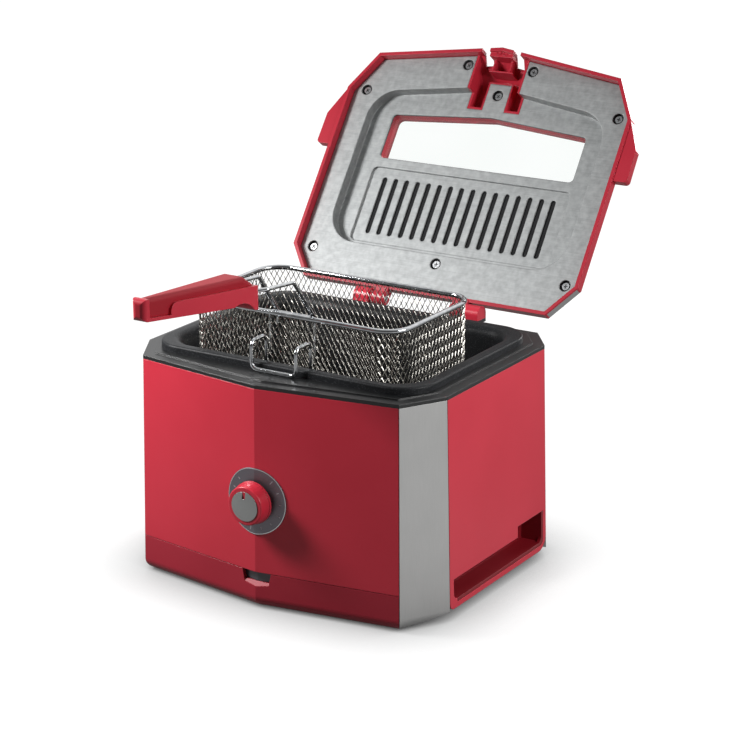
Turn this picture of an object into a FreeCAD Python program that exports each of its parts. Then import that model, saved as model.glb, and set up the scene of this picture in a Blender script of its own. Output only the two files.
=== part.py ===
"""Household deep fryer, lid open and basket hung to drain.

Millimetres. +Z is up, -Y is the front, and the origin lies on the floor under the middle of the body.
"""
import FreeCAD, Part
import math
import os

V = FreeCAD.Vector
ALONG_X = V(1, 0, 0)
ALONG_Y = V(0, 1, 0)
ALONG_Z = V(0, 0, 1)

# Plan of the body at the deck, measured from its middle
body_half_width = 135.0
ridge_reach = 125.0
back_reach = 100.0
ridge_depth = 16.5
front_chamfer_width = 20.0
front_chamfer_depth = 34.5
back_chamfer_width = 20.5
back_chamfer_depth = 26.5
facet_half_width = body_half_width - front_chamfer_width
facet_reach = ridge_reach - ridge_depth
side_front_reach = facet_reach - front_chamfer_depth
side_back_reach = back_reach - back_chamfer_depth
back_half_width = body_half_width - back_chamfer_width

# Heights above the floor
housing_floor = 0.8
side_panel_floor = 9.0
foot_height = 9.2
parting_height = 29.4
body_top = 173.6
ledge_top = 176.5
deck_top = 177.6
flange_top = 183.4

# Walls of the housing
draft = 4.0
panel_wall = 3.0
floor_round = 9.0
seam = 0.4
slip = 0.2
ledge_width = 9.0
locating_depth = 9.0
locating_wall = 2.0
side_panel_front_corner = 6.0
side_panel_back_corner = 12.0

# Grip recesses in the side panels
grip_front_margin = 5.0
grip_back_margin = 6.5
grip_step_length = 38.0
grip_front = side_front_reach - grip_front_margin
grip_back = side_back_reach - grip_back_margin
grip_step = grip_back - grip_step_length
grip_low = 16.0
grip_high = 32.5
grip_step_high = 41.5
grip_corner = 5.0
grip_lip = 3.0
grip_wall = 2.0
grip_shield_clear = 1.0

# Oil pot
pot_side_margin = 27.5
pot_front_margin = 43.0
pot_back_margin = 29.0
pot_half_width = body_half_width - pot_side_margin
pot_front = ridge_reach - pot_front_margin
pot_back = back_reach - pot_back_margin
pot_floor = 59.0
pot_wall = 2.0
pot_corner = 22.0
pot_floor_radius = 12.0
mouth_radius = 8.0
flange_width = 13.5
flange_corner = 28.0
flange_edge = 2.0

# Heating and control
shield_gap = 8.0
shield_wall = 0.8
shield_drop = 12.0
shield_floor = pot_floor - pot_wall - shield_drop
element_radius = 3.3
element_half_width = 75.0
element_front = 55.0
element_back = 45.0
element_bend = 8.0
element_tail = 12.0
element_tail_back = 62.0
terminal_height = 24.0
terminal_half_width = 25.0
terminal_half_depth = 10.0
cutout_radius = 8.0
cutout_height = 8.0
cutout_x = 40.0
bulb_radius = 2.5
bulb_length = 54.0
bulb_start = -24.0
capillary_radius = 0.8
capillary_x = 8.0
capillary_clear = 1.4
capillary_z = shield_floor + shield_wall + capillary_radius + capillary_clear
capillary_bend = 4.0
knob_z = 86.0
control_half_width = 17.0
control_half_height = 15.0
control_depth = 22.0
control_setback = 4.0
bush_radius = 4.5
shaft_radius = 3.0
running_fit = 0.05

# Knob and dial
dial_radius = 26.0
dial_hole = 7.0
dial_thickness = 0.6
knob_gap = 1.5
knob_flange_radius = 16.6
knob_flange = 2.0
knob_radius = 16.2
knob_tip_radius = 15.0
knob_length = 12.5
cap_radius = 11.6
cap_depth = 0.8
cap_proud = 0.5
cap_dome = 1.2
pointer_half_width = 1.3
pointer_length = 5.5

# Indicator lamp under the ridge
lamp_half_width = 13.0
lamp_floor_half_width = 11.0
lamp_floor = 21.5
lamp_ledge = 3.5
lens_thickness = 3.0
lens_lap = 1.5
lamp_half_size = 5.0
lamp_length = 12.0

# Base
base_plate = 3.0
foot_radius = 9.0
foot_round = 1.0
foot_inset = 16.0
post_radius = 3.5
post_inset = 10.0
screw_head_radius = 3.1
screw_head = 2.0
screw_radius = 1.5
screw_length = 7.5
gland_x = -70.0
gland_z = 27.0
gland_radius = 7.3
gland_flange_radius = 10.0
gland_flange = 2.5
gland_bore = 4.0
gland_length = 14.0

# Basket, hung high on the hook; it goes down into the pot and a little back
basket_side_gap = 13.5
basket_front_gap = 4.5
basket_depth = 113.5
basket_lift = 34.1
basket_drop = 60.0
basket_half_width = pot_half_width - basket_side_gap
basket_front = pot_front - basket_front_gap
basket_back = basket_depth - basket_front
basket_corner = 20.0
basket_floor_corner = 10.0
basket_height = 94.5
mesh_wall = 1.2
openings_across = 10
openings_deep = 5
openings_high = 5
opening_bar = 3.0
rim_z = flange_top + basket_lift
rim_radius = 2.0
bracket_half_width = 20.0
bracket_radius = 1.4
bracket_leg = 30.5
bracket_rise = 0.3

# Handle of the basket
handle_wire_radius = 1.5
eye_half_width = 16.5
eye_setback = 8.4
eye_leg = 10.0
bend_half_width = 15.5
bend_ahead = 16.5
bend_rise = 32.0
kink_lead = 8.5
kink_rise = 13.5
entry_half_width = 9.0
entry_rise = 13.0
handle_bend = 4.0
kink_bend = 3.0
wire_in_grip = 32.0
grip_clear = 10.5
grip_lift = 21.5
grip_back_reach = ridge_reach + grip_clear
grip_back_z = rim_z + grip_lift
grip_length = 123.0
grip_rise = 0.131
grip_half_width = 13.0
grip_nose_half_width = 5.5
grip_height = 25.0
grip_nose_height = 20.0
grip_side_height = 18.0
grip_shoulder_height = 15.0
grip_belly = 4.0
grip_floor_wall = 2.5
grip_floor = grip_belly + grip_floor_wall
grip_shell = 2.0
grip_nose = 6.0
grip_gap = 22.0
grip_shoulder = 6.0
grip_crown = 3.4
grip_crown_run = 12.0
nose_round = 4.0
finger_radius = 20.0
finger_back = 20.0
finger_bite = 6.0

# Drain hook over the pot's front flange
hook_half_width = 20.0
hook_radius = 1.5
hook_bend = 5.0
hook_arm_rise = 17.0
hook_leg = 45.0
hook_bar_gap = 2.0
hook_clear = 0.3
hook_arm_z = flange_top + hook_arm_rise
hook_bar_reach = pot_front + flange_width + hook_radius + hook_bar_gap
hook_leg_reach = basket_front + hook_radius + hook_clear

# Lid, drawn closed and then swung open about the hinge
lip_gap = 2.0
lip_z = ledge_top + lip_gap
hinge_setback = 8.0
hinge_rise = 3.9
hinge_y = back_reach + hinge_setback
hinge_z = ledge_top + hinge_rise
lid_open = 126.0
lid_wall = 3.0
lid_rim = 8.0
lid_height = 34.0
lid_slope_run = 26.0
strip_wall = 0.8
strip_top = 24.0
strip_margin = 1.5
wing_reach = 12.5
wing_start = 76.0
wing_shoulder = 48.0
wing_end = 20.0
wing_low = 1.0

# Inner panel of the lid, heights above the lip
sheet = 1.0
border_rise = 7.0
recess_rise = 17.0
recess_side_margin = 23.0
recess_front_margin = 33.0
recess_back_margin = 38.0
recess_half_width = body_half_width - recess_side_margin
recess_front = ridge_reach - recess_front_margin
recess_back = back_reach - recess_back_margin
recess_corner = 28.0
grille_side_margin = 17.5
grille_back_margin = 5.5
grille_depth = 68.0
grille_half_width = recess_half_width - grille_side_margin
grille_back = recess_back - grille_back_margin
grille_front = grille_back - grille_depth
grille_drop = 2.0
grille_corner = 5.0
slot_count = 16
slot_half_width = 2.25
slot_end_margin = 8.2
slot_side_margin = 13.9
slot_front = grille_front + slot_end_margin
slot_back = grille_back - slot_end_margin
slot_reach = grille_half_width - slot_side_margin

# Window and filters of the lid
window_side_margin = 19.5
window_ridge_margin = 24.0
window_lean = 7.5
window_gap = 8.5
window_half_width = recess_half_width - window_side_margin
window_ridge = recess_front - window_ridge_margin
window_front = window_ridge - window_lean
window_back = window_gap - grille_front
window_corner = 4.0
gasket_lap = 3.0
gasket_thickness = 1.2
glass_thickness = 3.0
frame_lap = 4.5
frame_wall = 3.5
filter_lap = 4.8
filter_half_width = slot_reach + slot_half_width + filter_lap
filter_front = slot_front - filter_lap
filter_back = slot_back + filter_lap
filter_thickness = 5.0
filter_gap = 0.3
vent_count = 12
vent_half_width = 2.0
vent_margin = 10.0
vent_front = filter_front + vent_margin
vent_back = filter_back - vent_margin
vent_reach = filter_half_width - vent_margin

# Passage through the lid's front for the handle's wires and the hook, heights above the lip
notch_room_inside = 3.0
notch_room_outside = 1.5
notch_head = 1.0
notch_depth = 14.0
notch_inner = bend_half_width - handle_wire_radius - notch_room_inside
notch_outer = bend_half_width + handle_wire_radius + notch_room_outside
notch_height = grip_back_z + kink_rise + handle_wire_radius + notch_head - basket_drop - lip_z
passage_room_side = 1.3
passage_room_back = 1.8
passage_room_above = 2.1
passage_wall = 2.0
passage_half_width = hook_half_width + hook_radius + passage_room_side
passage_back = hook_leg_reach - hook_radius - passage_room_back
passage_roof = hook_arm_z + hook_radius + passage_room_above - lip_z
tab_half_width = 10.2
tab_length = 22.5
tab_rim = 1.5
tab_front = passage_back + tab_length
bridge_depth = 8.0
bridge_low = 2.0
bridge_wall = 1.4
rib_depth = 19.0
rib_low = 9.0
rib_half_width = 8.6

# Screws of the lid
boss_radius = 6.5
dimple_radius = 4.8
dimple_depth = 2.5
screw_inset = 11.5
screw_beside = 6.2
screw_side_inset = 15.0
screw_front_shift = 2.0
screw_back_shift = 2.5
tab_screw_reach = 12.4

# Hinge
lug_inner = 45.0
lug_outer = 59.0
lug_clear = 1.0
lug_radius = hinge_setback - lug_clear
knuckle_inner = 31.0
knuckle_gap = 0.4
knuckle_radius = 5.5
pin_radius = 2.5
pin_cover = 2.0

BODY_PLAN = [(0.0, -ridge_reach), (facet_half_width, -facet_reach), (body_half_width, -side_front_reach),
             (body_half_width, side_back_reach), (back_half_width, back_reach),
             (-back_half_width, back_reach), (-body_half_width, side_back_reach),
             (-body_half_width, -side_front_reach), (-facet_half_width, -facet_reach)]
FRONT = [8, 0, 1]
RIGHT = [2, 3]
BACK = [4, 5]
LEFT = [6, 7]
CORNERS = {"front_right": [1, 2], "back_right": [3, 4], "back_left": [5, 6], "front_left": [7, 8]}


def box(x0, x1, y0, y1, z0, z1):
    return Part.makeBox(x1 - x0, y1 - y0, z1 - z0, V(x0, y0, z0))


def rod(radius, start, end):
    return Part.makeCylinder(radius, (end - start).Length, start, end - start)


def grow(points, distance):
    """Move every edge of a plan outward by distance and meet the neighbours again."""
    grown = []
    count = len(points)
    for i in range(count):
        (ax, ay), (bx, by), (cx, cy) = points[i - 1], points[i], points[(i + 1) % count]
        first = math.hypot(bx - ax, by - ay)
        second = math.hypot(cx - bx, cy - by)
        n1 = ((by - ay) / first, (ax - bx) / first)
        n2 = ((cy - by) / second, (bx - cx) / second)
        share = distance / (1.0 + n1[0] * n2[0] + n1[1] * n2[1])
        grown.append((bx + share * (n1[0] + n2[0]), by + share * (n1[1] + n2[1])))
    return grown


def ring(points, z):
    corners = [V(x, y, z) for x, y in points]
    return Part.makePolygon(corners + corners[:1])


def prism(points, z0, z1):
    return Part.Face(ring(points, z0)).extrude(V(0, 0, z1 - z0))


def taper(low, z0, high, z1):
    return Part.makeLoft([ring(low, z0), ring(high, z1)], True, True)


def fuse(pieces):
    whole = pieces[0]
    for piece in pieces[1:]:
        whole = whole.fuse(piece)
    return whole.removeSplitter()


def upright_edges(shape, keep=lambda x, y: True):
    """Upright edges of a shape, where keep accepts their place in plan."""
    chosen = []
    for edge in shape.Edges:
        a, b = edge.Vertexes[0].Point, edge.Vertexes[-1].Point
        if math.hypot(a.x - b.x, a.y - b.y) < 1e-6 and abs(a.z - b.z) > 1e-6 and keep(a.x, a.y):
            chosen.append(edge)
    return chosen


def level_edges(shape, z):
    return [edge for edge in shape.Edges
            if abs(edge.BoundBox.ZMin - z) < 1e-4 and abs(edge.BoundBox.ZMax - z) < 1e-4]


def rounded_block(x0, x1, y0, y1, z0, z1, radius):
    block = box(x0, x1, y0, y1, z0, z1)
    return block.makeFillet(radius, upright_edges(block))


def bent_rod(points, bend, radius):
    """Round rod along straight runs that are joined by arcs."""
    bends = bend if isinstance(bend, list) else [bend] * (len(points) - 2)
    path = []
    start = points[0]
    for i in range(1, len(points) - 1):
        back = (points[i - 1] - points[i]).normalize()
        ahead = (points[i + 1] - points[i]).normalize()
        half_turn = (math.pi - back.getAngle(ahead)) / 2.0
        cut = bends[i - 1] * math.tan(half_turn)
        inward = (back + ahead).normalize()
        middle = points[i] + inward * (bends[i - 1] / math.cos(half_turn) - bends[i - 1])
        path.append(Part.LineSegment(start, points[i] + back * cut).toShape())
        start = points[i] + ahead * cut
        path.append(Part.Arc(points[i] + back * cut, middle, start).toShape())
    path.append(Part.LineSegment(start, points[-1]).toShape())
    section = Part.Wire(Part.makeCircle(radius, points[0], points[1] - points[0]))
    return Part.Wire(path).makePipeShell([section], True, False)


def both_sides(shape):
    return [shape, shape.mirror(V(0, 0, 0), ALONG_X)]


def outset_at(z):
    """The walls lean out towards the floor."""
    return draft * (1.0 - z / body_top)


def plan_at(z, extra=0.0):
    return grow(BODY_PLAN, outset_at(z) + extra)


def envelope(extra, z0, z1):
    return taper(plan_at(z0, extra), z0, plan_at(z1, extra), z1)


def sector(corners, outer, inner, gap):
    """Plan of a wall that runs along some corners, between an outer and an inner outline."""
    out = [outer[c] for c in corners]
    inn = [inner[c] for c in corners]
    for a, b in ((0, 1), (-1, -2)):
        dx, dy = out[b][0] - out[a][0], out[b][1] - out[a][1]
        shift = gap / 2.0 / math.hypot(dx, dy)
        move = (dx * shift, dy * shift)
        out[a] = (out[a][0] + move[0], out[a][1] + move[1])
        inn[a] = (inn[a][0] + move[0], inn[a][1] + move[1])
    return out + inn[::-1]


def housing_wall(corners, z0, z1):
    low = sector(corners, plan_at(z0), plan_at(z0, -panel_wall), seam)
    high = sector(corners, plan_at(z1), plan_at(z1, -panel_wall), seam)
    return taper(low, z0, high, z1)


def footed_solid(inset, z1):
    """Housing's form moved in by an inset, with its lower edge rounded under."""
    floor = housing_floor + inset
    solid = envelope(-inset, floor, z1)
    return solid.makeFillet(floor_round - inset, level_edges(solid, floor))


def footed_wall(corners, z1):
    low = sector(corners, plan_at(housing_floor, slip), plan_at(housing_floor, -floor_round), seam)
    high = sector(corners, plan_at(z1, slip), plan_at(z1, -floor_round), seam)
    block = taper(low, housing_floor, high, z1)
    return block.common(footed_solid(0.0, z1).cut(footed_solid(panel_wall, z1)))


def front_y(z):
    """Where the ridge's outer face stands at a height."""
    return plan_at(z)[0][1]


def make_front():
    panel = housing_wall(FRONT, parting_height + seam / 2.0, body_top)
    far = ridge_reach + 2.0 * draft
    panel = panel.cut(rod(bush_radius + slip, V(0, -far, knob_z), V(0, -facet_reach, knob_z)))
    skirt = footed_wall(FRONT, parting_height - seam / 2.0)
    a = lamp_half_width
    b = lamp_floor_half_width
    mouth = [(-a, parting_height), (a, parting_height), (b, lamp_floor), (-b, lamp_floor)]
    face = front_y(lamp_floor)
    inner = [V(x, face + panel_wall, z) for x, z in mouth]
    outer = [V(x, face, z - (lamp_ledge if z < parting_height else 0.0)) for x, z in mouth]
    notch = fuse([mouth_block(outer, V(0, face + far, 0) * -1.0),
                  Part.makeLoft([closed(outer), closed(inner)], True, True),
                  mouth_block(inner, V(0, ridge_depth, 0))])
    return panel, skirt.cut(notch)


def closed(corners):
    return Part.makePolygon(corners + corners[:1])


def mouth_block(corners, way):
    return Part.Face(closed(corners)).extrude(way)


def side_opening():
    """Space of the right grip recess, stepped up at its rear end."""
    inside = body_half_width - panel_wall - draft
    outside = body_half_width + 2.0 * draft
    low = box(inside, outside, -grip_front, grip_back, grip_low, grip_high)
    high = box(inside, outside, grip_step, grip_back, grip_high - grip_corner, grip_step_high)
    space = low.fuse(high).removeSplitter()
    edges = [e for e in space.Edges if abs(e.BoundBox.XLength - (outside - inside)) < 1e-6]
    return space.makeFillet(grip_corner - slip, [e for e in edges if e.BoundBox.ZMin < grip_low + slip])


def lip_space(lip, end_gap):
    """Space of the pocket's lip, which runs along the floor and up the rear end of the right recess."""
    inside = body_half_width - panel_wall - draft
    outside = body_half_width + 2.0 * draft
    floor = box(inside, outside, grip_corner + end_gap - grip_front, grip_back + lip, grip_low - lip,
                grip_low + grip_corner)
    rear = box(inside, outside, grip_back - grip_corner, grip_back + lip, grip_low - lip,
               grip_step_high - end_gap)
    space = floor.fuse(rear).removeSplitter()
    corner = [e for e in space.Edges
              if e.BoundBox.YMin > grip_back + slip and e.BoundBox.ZMax < grip_low - slip]
    return space.makeFillet(grip_corner, corner)


def make_right_side():
    wall = housing_wall(RIGHT, side_panel_floor, body_top)
    inside = body_half_width - panel_wall - draft
    frame = box(inside, body_half_width + 2.0 * draft, wall.BoundBox.YMin, wall.BoundBox.YMax,
                side_panel_floor, body_top)
    ends = [e for e in level_edges(frame, side_panel_floor) if e.BoundBox.YLength < 1e-6]
    frame = frame.makeFillet(side_panel_front_corner, [e for e in ends if e.BoundBox.YMax < 0.0])
    ends = [e for e in level_edges(frame, side_panel_floor) if e.BoundBox.YLength < 1e-6]
    frame = frame.makeFillet(side_panel_back_corner, [e for e in ends if e.BoundBox.YMin > 0.0])
    wall = wall.common(frame)
    panel = wall.cut([side_opening(), lip_space(grip_lip, 0.0)])
    lip = wall.common(lip_space(grip_lip - seam, seam)).cut(side_opening())
    back = pot_half_width + pot_wall + shield_gap + grip_shield_clear
    shell = box(back, body_half_width + draft, -grip_front - grip_wall, grip_back + grip_wall,
                grip_low - grip_wall, grip_step_high + grip_wall)
    hollow = box(back + grip_wall, body_half_width + 2.0 * draft, -grip_front, grip_back,
                 grip_low, grip_step_high)
    pocket = shell.cut(hollow).common(envelope(-panel_wall, 0.0, body_top))
    return panel, fuse([pocket, lip])


def make_back():
    far = back_reach + 2.0 * draft
    wall = footed_wall(BACK, body_top)
    hole = rod(gland_radius + slip, V(gland_x, back_reach - draft, gland_z), V(gland_x, far, gland_z))
    y = plan_at(gland_z)[4][1]
    seat = V(gland_x, y, gland_z)
    flange = rod(gland_flange_radius, seat - ALONG_Y * gland_flange, seat + ALONG_Y * gland_flange)
    flange = flange.cut(envelope(0.0, 0.0, body_top))
    sleeve = rod(gland_radius, seat - ALONG_Y * (gland_length - slip), seat + ALONG_Y * slip)
    bore = rod(gland_bore, seat - ALONG_Y * 2.0 * gland_length, seat + ALONG_Y * gland_length)
    return wall.cut(hole), fuse([flange, sleeve]).cut(bore)


def pot_block(margin, z0, z1):
    return rounded_block(-pot_half_width - margin, pot_half_width + margin, -pot_front - margin,
                         pot_back + margin, z0, z1, pot_corner + margin)


def make_deck():
    deck = prism(BODY_PLAN, body_top, ledge_top)
    deck = deck.fuse(prism(grow(BODY_PLAN, -ledge_width), body_top, deck_top))
    outer = grow(BODY_PLAN, -panel_wall - slip)
    inner = grow(BODY_PLAN, -panel_wall - slip - locating_wall)
    rib_floor = body_top - locating_depth
    rib = taper(outer, rib_floor, outer, body_top).cut(prism(inner, rib_floor, body_top))
    tongue = box(lug_inner, lug_outer, back_reach - ledge_width, hinge_y + lug_radius, body_top, ledge_top)
    deck = fuse([deck, rib] + both_sides(tongue))
    return deck.cut(pot_block(pot_wall + slip, rib_floor, deck_top))


def make_pot():
    cavity = pot_block(0.0, pot_floor, flange_top)
    cavity = cavity.makeFillet(pot_floor_radius, level_edges(cavity, pot_floor))
    bowl = pot_block(pot_wall, pot_floor - pot_wall, deck_top)
    bowl = bowl.makeFillet(pot_floor_radius + pot_wall, level_edges(bowl, pot_floor - pot_wall))
    reach = flange_width
    flange = rounded_block(-pot_half_width - reach, pot_half_width + reach, -pot_front - reach,
                           pot_back + reach, deck_top, flange_top, flange_corner)
    flange = flange.makeFillet(flange_edge, level_edges(flange, flange_top))
    pot = fuse([bowl, flange]).cut(cavity)
    mouth = [e for e in level_edges(pot, flange_top)
             if e.BoundBox.XMax < pot_half_width + slip and e.BoundBox.XMin > -pot_half_width - slip
             and e.BoundBox.YMin > -pot_front - slip and e.BoundBox.YMax < pot_back + slip]
    return pot.makeFillet(mouth_radius, mouth)


def make_heat_shield():
    margin = pot_wall + shield_gap
    shield = pot_block(margin, shield_floor, body_top)
    shield = shield.cut(pot_block(margin - shield_wall, shield_floor + shield_wall, body_top))
    for x in (-element_tail, element_tail):
        tail = V(x, element_tail_back, shield_floor)
        hole = rod(element_radius + slip, tail - ALONG_Z * shield_wall, tail + ALONG_Z * 2.0 * shield_wall)
        shield = shield.cut(hole)
    entry = V(capillary_x, -pot_front - margin - shield_wall, capillary_z)
    return shield.cut(rod(capillary_radius + slip, entry, entry + V(0, 3.0 * shield_wall, 0)))


def make_element():
    z = pot_floor - pot_wall - element_radius - slip / 2.0
    low = foot_height + base_plate + terminal_height
    left = [V(-element_tail, element_tail_back, low), V(-element_tail, element_tail_back, z),
            V(-element_tail, element_back, z), V(-element_half_width, element_back, z),
            V(-element_half_width, -element_front, z)]
    right = [V(-p.x, p.y, p.z) for p in reversed(left)]
    return bent_rod(left + right, element_bend, element_radius)


def make_control():
    front = front_y(knob_z) + control_setback
    body = box(-control_half_width, control_half_width, front + panel_wall, front + control_depth,
               knob_z - control_half_height, knob_z + control_half_height)
    bush_end = front_y(knob_z) - dial_thickness
    body = fuse([body, rod(bush_radius, V(0, front + panel_wall, knob_z), V(0, bush_end, knob_z))])
    shaft_start = V(0, front + control_depth / 2.0, knob_z)
    bore = rod(shaft_radius + running_fit, shaft_start, V(0, bush_end - 1.0, knob_z))
    tip = front_y(knob_z) - knob_gap - knob_length + cap_depth
    shaft = rod(shaft_radius, shaft_start + V(0, -slip, 0), V(0, tip + 2.0 * cap_depth, knob_z))
    z = pot_floor - pot_wall - bulb_radius - slip / 2.0
    rear = front + control_depth - control_half_width / 2.0
    route = [(rear, knob_z - control_half_height), (rear, capillary_z), (2.0 * bulb_start, capillary_z),
             (bulb_start - bulb_radius, z), (bulb_start, z)]
    bends = [capillary_bend, capillary_bend, capillary_bend / 2.0]
    tube = bent_rod([V(capillary_x, a, b) for a, b in route], bends, capillary_radius)
    bulb = rod(bulb_radius, V(capillary_x, bulb_start, z), V(capillary_x, bulb_start + bulb_length, z))
    return body.cut(bore), shaft, fuse([tube, bulb])


def make_knob(shaft):
    back = front_y(knob_z) - dial_thickness - knob_gap
    front = back - knob_length + knob_gap
    turn = [V(0, back, knob_z), V(knob_flange_radius, back, knob_z),
            V(knob_flange_radius, back - knob_flange, knob_z), V(knob_radius, back - knob_flange, knob_z),
            V(knob_tip_radius, front, knob_z), V(0, front, knob_z)]
    knob = Part.Face(Part.makePolygon(turn + turn[:1])).revolve(V(0, 0, knob_z), ALONG_Y, 360.0)
    rim = [e for e in knob.Edges if e.BoundBox.YMax < front + 1e-4 and e.BoundBox.XLength > knob_radius]
    knob = knob.makeFillet(1.2, rim)
    seat = rod(cap_radius, V(0, front - 1.0, knob_z), V(0, front + cap_depth, knob_z))
    pointer = box(-pointer_half_width, pointer_half_width, front - cap_proud, front + cap_depth,
                  knob_z + cap_radius - pointer_length, knob_z + cap_radius - slip)
    apex = front - cap_proud - cap_dome
    ball = (cap_radius ** 2 + cap_dome ** 2) / (2.0 * cap_dome)
    cap = rod(cap_radius - slip / 2.0, V(0, apex, knob_z), V(0, front + cap_depth, knob_z))
    cap = cap.common(Part.makeSphere(ball, V(0, apex + ball, knob_z)))
    pointer_space = pointer.fuse(pointer.translated(V(0, -cap_dome, 0)))
    return fuse([knob.cut(seat), pointer]).cut(shaft), cap.cut(pointer_space)


def make_dial():
    leaf = envelope(dial_thickness, 0.0, body_top).cut(envelope(0.0, 0.0, body_top))
    near = V(0, -ridge_reach - 2.0 * draft, knob_z)
    far = V(0, -facet_reach, knob_z)
    return leaf.common(rod(dial_radius, near, far)).cut(rod(dial_hole, near, far))


def make_lamp():
    half = lamp_half_width + lens_lap
    top = parting_height - seam
    slab = box(-half, half, -ridge_reach - draft, -facet_reach, lamp_floor - lens_lap, top)
    lens = slab.common(envelope(-panel_wall - slip, 0.0, body_top))
    lens = lens.cut(envelope(-panel_wall - slip - lens_thickness, 0.0, body_top))
    start = front_y(lamp_floor) + panel_wall + lens_thickness + lamp_half_size / 2.0
    holder = box(-lamp_half_size, lamp_half_size, start - lamp_half_size, start + lamp_length,
                 lamp_floor, lamp_floor + 2.0 * lamp_half_size)
    return lens, holder.common(envelope(-panel_wall - slip - lens_thickness, 0.0, body_top))


def post_places():
    """Posts stand behind the middle of each chamfered corner."""
    line = grow(BODY_PLAN, -post_inset)
    return [((line[a][0] + line[b][0]) / 2.0, (line[a][1] + line[b][1]) / 2.0) for a, b in CORNERS.values()]


def make_foot(x, y):
    foot = rod(foot_radius, V(x, y, 0), V(x, y, foot_height))
    return foot.makeFillet(foot_round, level_edges(foot, 0.0))


def make_base():
    top = foot_height + base_plate
    reach = body_half_width + ridge_reach
    slab = box(-reach, reach, -reach, reach, foot_height, top)
    pan = footed_solid(panel_wall + slip, body_top).common(slab)
    posts, screws, feet = [], [], [make_foot(0.0, 0.0)]
    for x, y in post_places():
        pan = pan.cut(rod(screw_radius, V(x, y, 0), V(x, y, top)))
        post = rod(post_radius, V(x, y, top), V(x, y, body_top))
        screw = fuse([rod(screw_head_radius, V(x, y, foot_height - screw_head), V(x, y, foot_height)),
                      rod(screw_radius, V(x, y, foot_height), V(x, y, top + screw_length))])
        posts.append(post.cut(screw))
        screws.append(screw)
        side = 1.0 if x > 0 else -1.0
        end = 1.0 if y > 0 else -1.0
        feet.append(make_foot(x - side * foot_inset, y - end * foot_inset))
    return pan, Part.makeCompound(posts), Part.makeCompound(screws), Part.makeCompound(feet)


def make_terminal_block():
    low = foot_height + base_plate
    return box(-terminal_half_width, terminal_half_width, element_tail_back - terminal_half_depth,
               element_tail_back + terminal_half_depth, low, low + terminal_height)


def make_cutout():
    top = pot_floor - pot_wall
    return rod(cutout_radius, V(cutout_x, 0, top - cutout_height), V(cutout_x, 0, top))


def make_basket():
    top = rim_z - rim_radius
    floor = rim_z - basket_height
    outer = rounded_block(-basket_half_width, basket_half_width, -basket_front, basket_back, floor, top,
                          basket_corner)
    outer = outer.makeFillet(basket_floor_corner, level_edges(outer, floor))
    t = mesh_wall
    inner = rounded_block(-basket_half_width + t, basket_half_width - t, -basket_front + t, basket_back - t,
                          floor + t, top, basket_corner - t)
    inner = inner.makeFillet(basket_floor_corner - t, level_edges(inner, floor + t))
    half = basket_half_width - t / 2.0
    front = -basket_front + t / 2.0
    back = basket_back - t / 2.0
    loop = [V(0, front, rim_z), V(half, front, rim_z), V(half, back, rim_z), V(0, back, rim_z)]
    side = bent_rod(loop, basket_corner - t / 2.0, rim_radius)
    return outer.cut(inner).cut(basket_openings(floor, top)), fuse(both_sides(side))


def basket_openings(floor, top):
    """Plain grid of openings in the flat stretches of the walls and the floor, which stands for the mesh."""
    side = basket_half_width - basket_corner
    front = basket_corner - basket_front
    back = basket_back - basket_corner
    low = floor + basket_floor_corner
    columns = cells(-side, side, openings_across)
    ranks = cells(front, back, openings_deep)
    rows = cells(low, top - opening_bar, openings_high)
    reach = 2.0 * basket_half_width
    holes = [box(a, b, -reach, reach, c, d) for a, b in columns for c, d in rows]
    holes += [box(-reach, reach, a, b, c, d) for a, b in ranks for c, d in rows]
    holes += [box(a, b, c, d, floor - mesh_wall, low) for a, b in columns for c, d in ranks]
    return holes


def cells(start, end, count):
    """Equal openings between two ends, with a bar between neighbours."""
    pitch = (end - start + opening_bar) / count
    return [(start + i * pitch, start + (i + 1) * pitch - opening_bar) for i in range(count)]


def make_bracket():
    y = -basket_front + mesh_wall / 2.0 + rim_radius + bracket_radius
    top = rim_z + bracket_rise
    low = rim_z - bracket_leg
    a = bracket_half_width
    return bent_rod([V(-a, y, low), V(-a, y, top), V(a, y, top), V(a, y, low)], 2.5 * bracket_radius,
                    bracket_radius)


def grip_line(reach, rise):
    """Point on the middle plane of the grip, at a reach from the body's middle and a rise in the grip."""
    z = grip_back_z + rise + (reach - grip_back_reach) * grip_rise
    return V(0, -reach, z)


def make_handle():
    eye_y = -basket_front + eye_setback
    wires = []
    for side in (-1.0, 1.0):
        end = grip_line(grip_back_reach + wire_in_grip, entry_rise)
        entry = grip_line(grip_back_reach, entry_rise)
        path = [V(side * eye_half_width, eye_y, rim_z - eye_leg), V(side * eye_half_width, eye_y, rim_z),
                V(side * bend_half_width, -basket_front - bend_ahead, rim_z + bend_rise),
                V(side * bend_half_width, -grip_back_reach + kink_lead, grip_back_z + kink_rise),
                V(side * entry_half_width, entry.y, entry.z), V(side * entry_half_width, end.y, end.z)]
        bends = [handle_bend, handle_bend, kink_bend, kink_bend]
        wires.append(bent_rod(path, bends, handle_wire_radius))
    tray, core = make_grip()
    for wire in wires:
        tray = tray.cut(wire)
        core = core.cut(wire)
    return Part.makeCompound(wires), tray, core


def grip_blank(side_view, inset):
    """Solid with a side view, narrower towards the nose and moved in from the grip's sides by an inset."""
    a = grip_half_width - inset
    b = grip_nose_half_width - inset
    tip = -grip_back_reach - grip_length
    low = grip_line(grip_back_reach, -grip_height).z
    high = grip_line(grip_back_reach + grip_length, 2.0 * grip_height).z
    plan = prism([(-b, tip), (b, tip), (a, -grip_back_reach), (-a, -grip_back_reach)], low, high)
    return extrude_across(side_view, grip_half_width).common(plan)


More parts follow.
